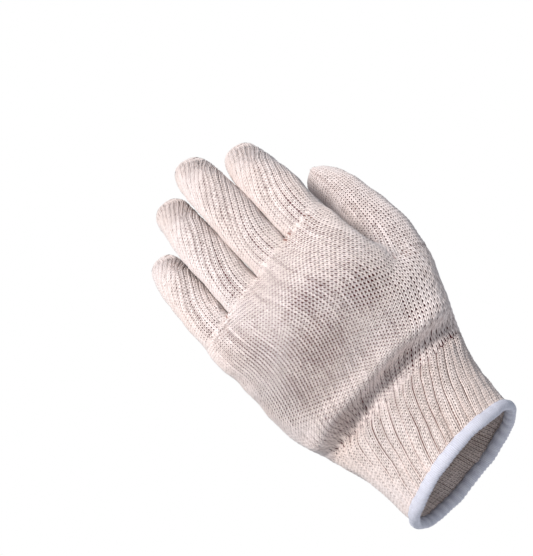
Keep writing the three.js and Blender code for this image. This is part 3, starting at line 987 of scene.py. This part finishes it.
def under_thumb(points):
    """Which points of the hand's knit the thumb's own knit covers."""
    thumb, hand = THUMB_TUBE.distance(points), HAND_TUBE.distance(points)
    covered = ((thumb < 1.2) & (hand > 0.8)) | (thumb < -0.8)
    return (above(points, THUMB_ROOT) > SEAM_LAP) & covered


def palm_density(columns):
    """How dense each wale of the hand is at least: the palm is closer, away from its sides."""
    wale = np.arange(columns)
    from_back = np.clip((wale - BACK_WALES) / PALM_EDGE - 1, 0, 1)
    from_end = np.clip((columns - wale) / PALM_EDGE - 1, 0, 1)
    return PALM_DENSITY * from_back * from_end


def build_hand():
    for name, (grid, between) in zip(("lower_hand", "upper_hand"), hand_grids()):
        points, shape = grid.reshape(-1, 3), grid.shape[:2]
        past = above(points, WEBS)
        keep = ((past < SEAM_LAP) & ~under_thumb(points)).reshape(shape) & between
        density = np.maximum(knit_density(grid, HAND_OPEN), palm_density(shape[1]))
        # near the webs the painted shade behind the stitches takes the lighter colour of dense knit
        webs = np.clip(1.1 + past / 3, 0, 1).reshape(shape)
        parts = [
            (0, knit(grid, density, keep, pairs=pairing(grid, HAND_PAIRED))),
            (1, under_sheet(grid, SHADE_SHEET_DEPTH, np.maximum(density, webs), keep)),
            (2, under_sheet(grid, WALL, density, keep)),
        ]
        piece(name, parts, (COTTON, PAINTED_SHADE, INSIDE), "hand")


def build_cuff():
    grid = drifted(lumpy(wrist_fold(cuff_grid())), 0.45, 5.0, WALES_PER_RIB)
    share = np.linspace(0, 1, grid.shape[0])[:, None]
    density = np.clip(0.9 - 0.6 * share + 0 * grid[..., 0], 0, 1)
    keep = np.ones(density.shape, bool)
    keep[-2:] = False
    ribs = rib_relief(uneven((grid.shape[0], RIBS), 3.0))
    parts = [
        (0, knit(grid, density, keep, relief=ribs)),
        (1, under_sheet(grid, SHADE_SHEET_DEPTH - CUFF_SHADE_SHEET_RISE, density)),
    ]
    piece("rib_cuff_knit", parts, (RIB_COTTON, RIB_PAINTED_SHADE), "rib_cuff")
    low, full = grid[:INNER_ROWS], np.ones((INNER_ROWS, grid.shape[1]))
    parts = [
        (0, knit(low, full, inner=True)),
        (1, under_sheet(grid, INNER_DEPTH - CUFF_SHADE_SHEET_RISE, density)),
    ]
    piece("rib_cuff_inside", parts, (RIB_COTTON, RIB_PAINTED_SHADE), "rib_cuff")


HEM_TEETH = 92             # loops of thread along the roll's inner edge
HEM_TEETH_AT = math.radians(262)       # where round the roll they stand out


def hem_path(steps):
    """The middle of the roll, its outward direction and its half sizes, a little uneven all round."""
    angle = 2 * math.pi * np.arange(steps) / steps
    c, s = np.cos(angle), np.sin(angle)
    wander = 0.3 * np.sin(5 * angle + 1) + 0.18 * np.sin(11 * angle)
    middle = np.stack([(HEM_HALF_WIDTH + wander) * c, (HEM_HALF_DEPTH + wander) * s,
                       HEM_HEIGHT / 2 + 0.3 * np.sin(4 * angle + 2) + 0.15 * np.sin(9 * angle)], -1)
    out = unit(np.stack([c / HEM_HALF_WIDTH, s / HEM_HALF_DEPTH, 0 * c], -1))
    fuller = 1 + 0.03 * np.sin(7 * angle + 0.5) + 0.03 * np.sin(17 * angle)
    return angle, middle, out, HEM_THICKNESS / 2 * fuller, HEM_HEIGHT / 2 * fuller


def swept(middle, out, wide, tall):
    """A closed tube swept round the opening, slanted as the opening is."""
    steps, over = wide.shape
    points = middle[:, None] + out[:, None] * wide[..., None] + np.array([0, 0, 1.0]) * tall[..., None]
    slant = math.radians(HEM_SLANT)
    turned = np.stack([
        points[..., 0] * math.cos(slant) - points[..., 2] * math.sin(slant),
        points[..., 1],
        points[..., 0] * math.sin(slant) + points[..., 2] * math.cos(slant),
    ], -1)
    here, after = np.arange(steps)[:, None], (np.arange(steps)[:, None] + 1) % steps
    low, high = np.arange(over)[None], (np.arange(over)[None] + 1) % over
    faces = np.stack([here * over + low, after * over + low, after * over + high, here * over + high], -1)
    return turned.reshape(-1, 3), faces.reshape(-1, 4)


def build_hem():
    """A roll with fine threads wrapped over it, and their small loops along its inner edge."""
    over, steps = 20, HEM_WRAPS * 4
    turn = 2 * math.pi * np.arange(over) / over
    angle, middle, out, thick, high = hem_path(steps)
    size = 0.08 + 0.04 * np.repeat(RANDOM.normal(0, 1, HEM_WRAPS), 4)[:, None]
    thread = size * np.cos(HEM_WRAPS * angle[:, None] + 1.2 * turn[None])
    pucker = 0.16 * np.sin(37 * angle + 2 * np.sin(3 * angle))[:, None] * np.cos(turn / 2 - 1.2)[None] ** 2
    loops = np.abs(np.sin(HEM_TEETH * angle / 2 + 0.8 * np.sin(9 * angle)))[:, None]
    loops = 0.5 * loops * np.exp(-((turn - HEM_TEETH_AT) / 0.3) ** 2)[None]
    wide = (thick[:, None] + thread + pucker + loops) * np.cos(turn)
    tall = (high[:, None] + thread + pucker + loops) * np.sin(turn)
    points, faces = swept(middle, out, wide, tall)
    colours = np.ones((len(points), 4))
    # painted shade: lighter on the threads' crests and the puckers, darker between them
    colours[:, 0] = np.clip(0.5 + 1.6 * thread + 0.8 * pucker, 0, 1).reshape(-1)
    places = np.stack(np.meshgrid(np.arange(steps) / steps, np.arange(over) / over, indexing="ij"), -1)
    parts = [(0, (points, faces, places.reshape(-1, 2), colours))]
    piece("hem_roll", parts, (HEM_THREAD,), "hem")


# The camera, the lights and what stands round the glove

CAMERA_AT = Vector((-6.68, -1445.9, -418.9)) * MM
CAMERA_AIM = Vector((-6.68, -45.54, 118.64)) * MM
CAMERA_ROLL = 43.5
CAMERA_LENS = 211.0


def set_camera():
    data = bpy.data.cameras.new("camera")
    camera = placed("camera", data)
    bpy.context.scene.camera = camera
    data.lens = CAMERA_LENS
    data.sensor_width = 36.0
    data.clip_start, data.clip_end = 0.05, 50.0
    away = (CAMERA_AIM - CAMERA_AT).normalized()
    roll = math.radians(CAMERA_ROLL)
    right = Vector(SIGHT_RIGHT)
    up = right.cross(away).normalized()
    top = up * math.cos(roll) + right * math.sin(roll)
    side = away.cross(top).normalized()
    turn = Matrix((side, side.cross(away), -away)).transposed()
    camera.matrix_world = Matrix.Translation(CAMERA_AT) @ turn.to_4x4()


def area_light(name, at, aim, size, power, colour):
    data = bpy.data.lights.new(name, "AREA")
    data.shape = "DISK"
    data.size = size
    data.energy = power
    data.color = colour
    light = placed(name, data)
    light.location = at
    light.rotation_euler = (Vector(aim) - Vector(at)).to_track_quat("-Z", "Y").to_euler()
    light.visible_camera = False


def set_world():
    world = bpy.data.worlds.new("world")
    bpy.context.scene.world = world
    world.use_nodes = True
    nodes, links = world.node_tree.nodes, world.node_tree.links
    seen, lit = nodes["Background"], nodes.new("ShaderNodeBackground")
    seen.inputs[0].default_value = (1, 1, 1, 1)
    lit.inputs[0].default_value = (0.74, 0.85, 0.98, 1)
    lit.inputs[1].default_value = 0.38
    ray, choose = nodes.new("ShaderNodeLightPath"), nodes.new("ShaderNodeMixShader")
    links.new(ray.outputs["Is Camera Ray"], choose.inputs[0])
    links.new(lit.outputs[0], choose.inputs[1])
    links.new(seen.outputs[0], choose.inputs[2])
    links.new(choose.outputs[0], nodes["World Output"].inputs[0])


def set_floor():
    mesh = bpy.data.meshes.new("floor")
    size, height = 4.0, -0.62
    corners = [(-size, -size, height), (size, -size, height), (size, size, height), (-size, size, height)]
    mesh.from_pydata(corners, [], [(0, 1, 2, 3)])
    mesh.materials.append(plain_material("floor", (244, 244, 244), 0.9))
    placed("floor", mesh)


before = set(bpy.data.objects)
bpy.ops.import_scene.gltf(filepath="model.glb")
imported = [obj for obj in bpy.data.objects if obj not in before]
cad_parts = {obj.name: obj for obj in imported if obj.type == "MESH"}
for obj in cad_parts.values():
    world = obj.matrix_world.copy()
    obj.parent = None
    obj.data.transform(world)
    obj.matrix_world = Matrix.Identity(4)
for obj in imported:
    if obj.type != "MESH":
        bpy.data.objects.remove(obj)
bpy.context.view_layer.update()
build_cuff()
build_hand()
build_fingers()
build_thumb()
build_hem()
set_camera()
set_world()
set_floor()
lit_place = (0.0, -0.04, 0.11)
area_light("key", (-0.24, -1.25, 0.60), lit_place, 0.5, 19.3, (1.0, 0.99, 0.975))
area_light("fill", (-0.6, -1.1, -0.5), lit_place, 0.9, 0.8, (0.95, 0.97, 1.0))
bpy.context.scene.view_settings.view_transform = "Standard"
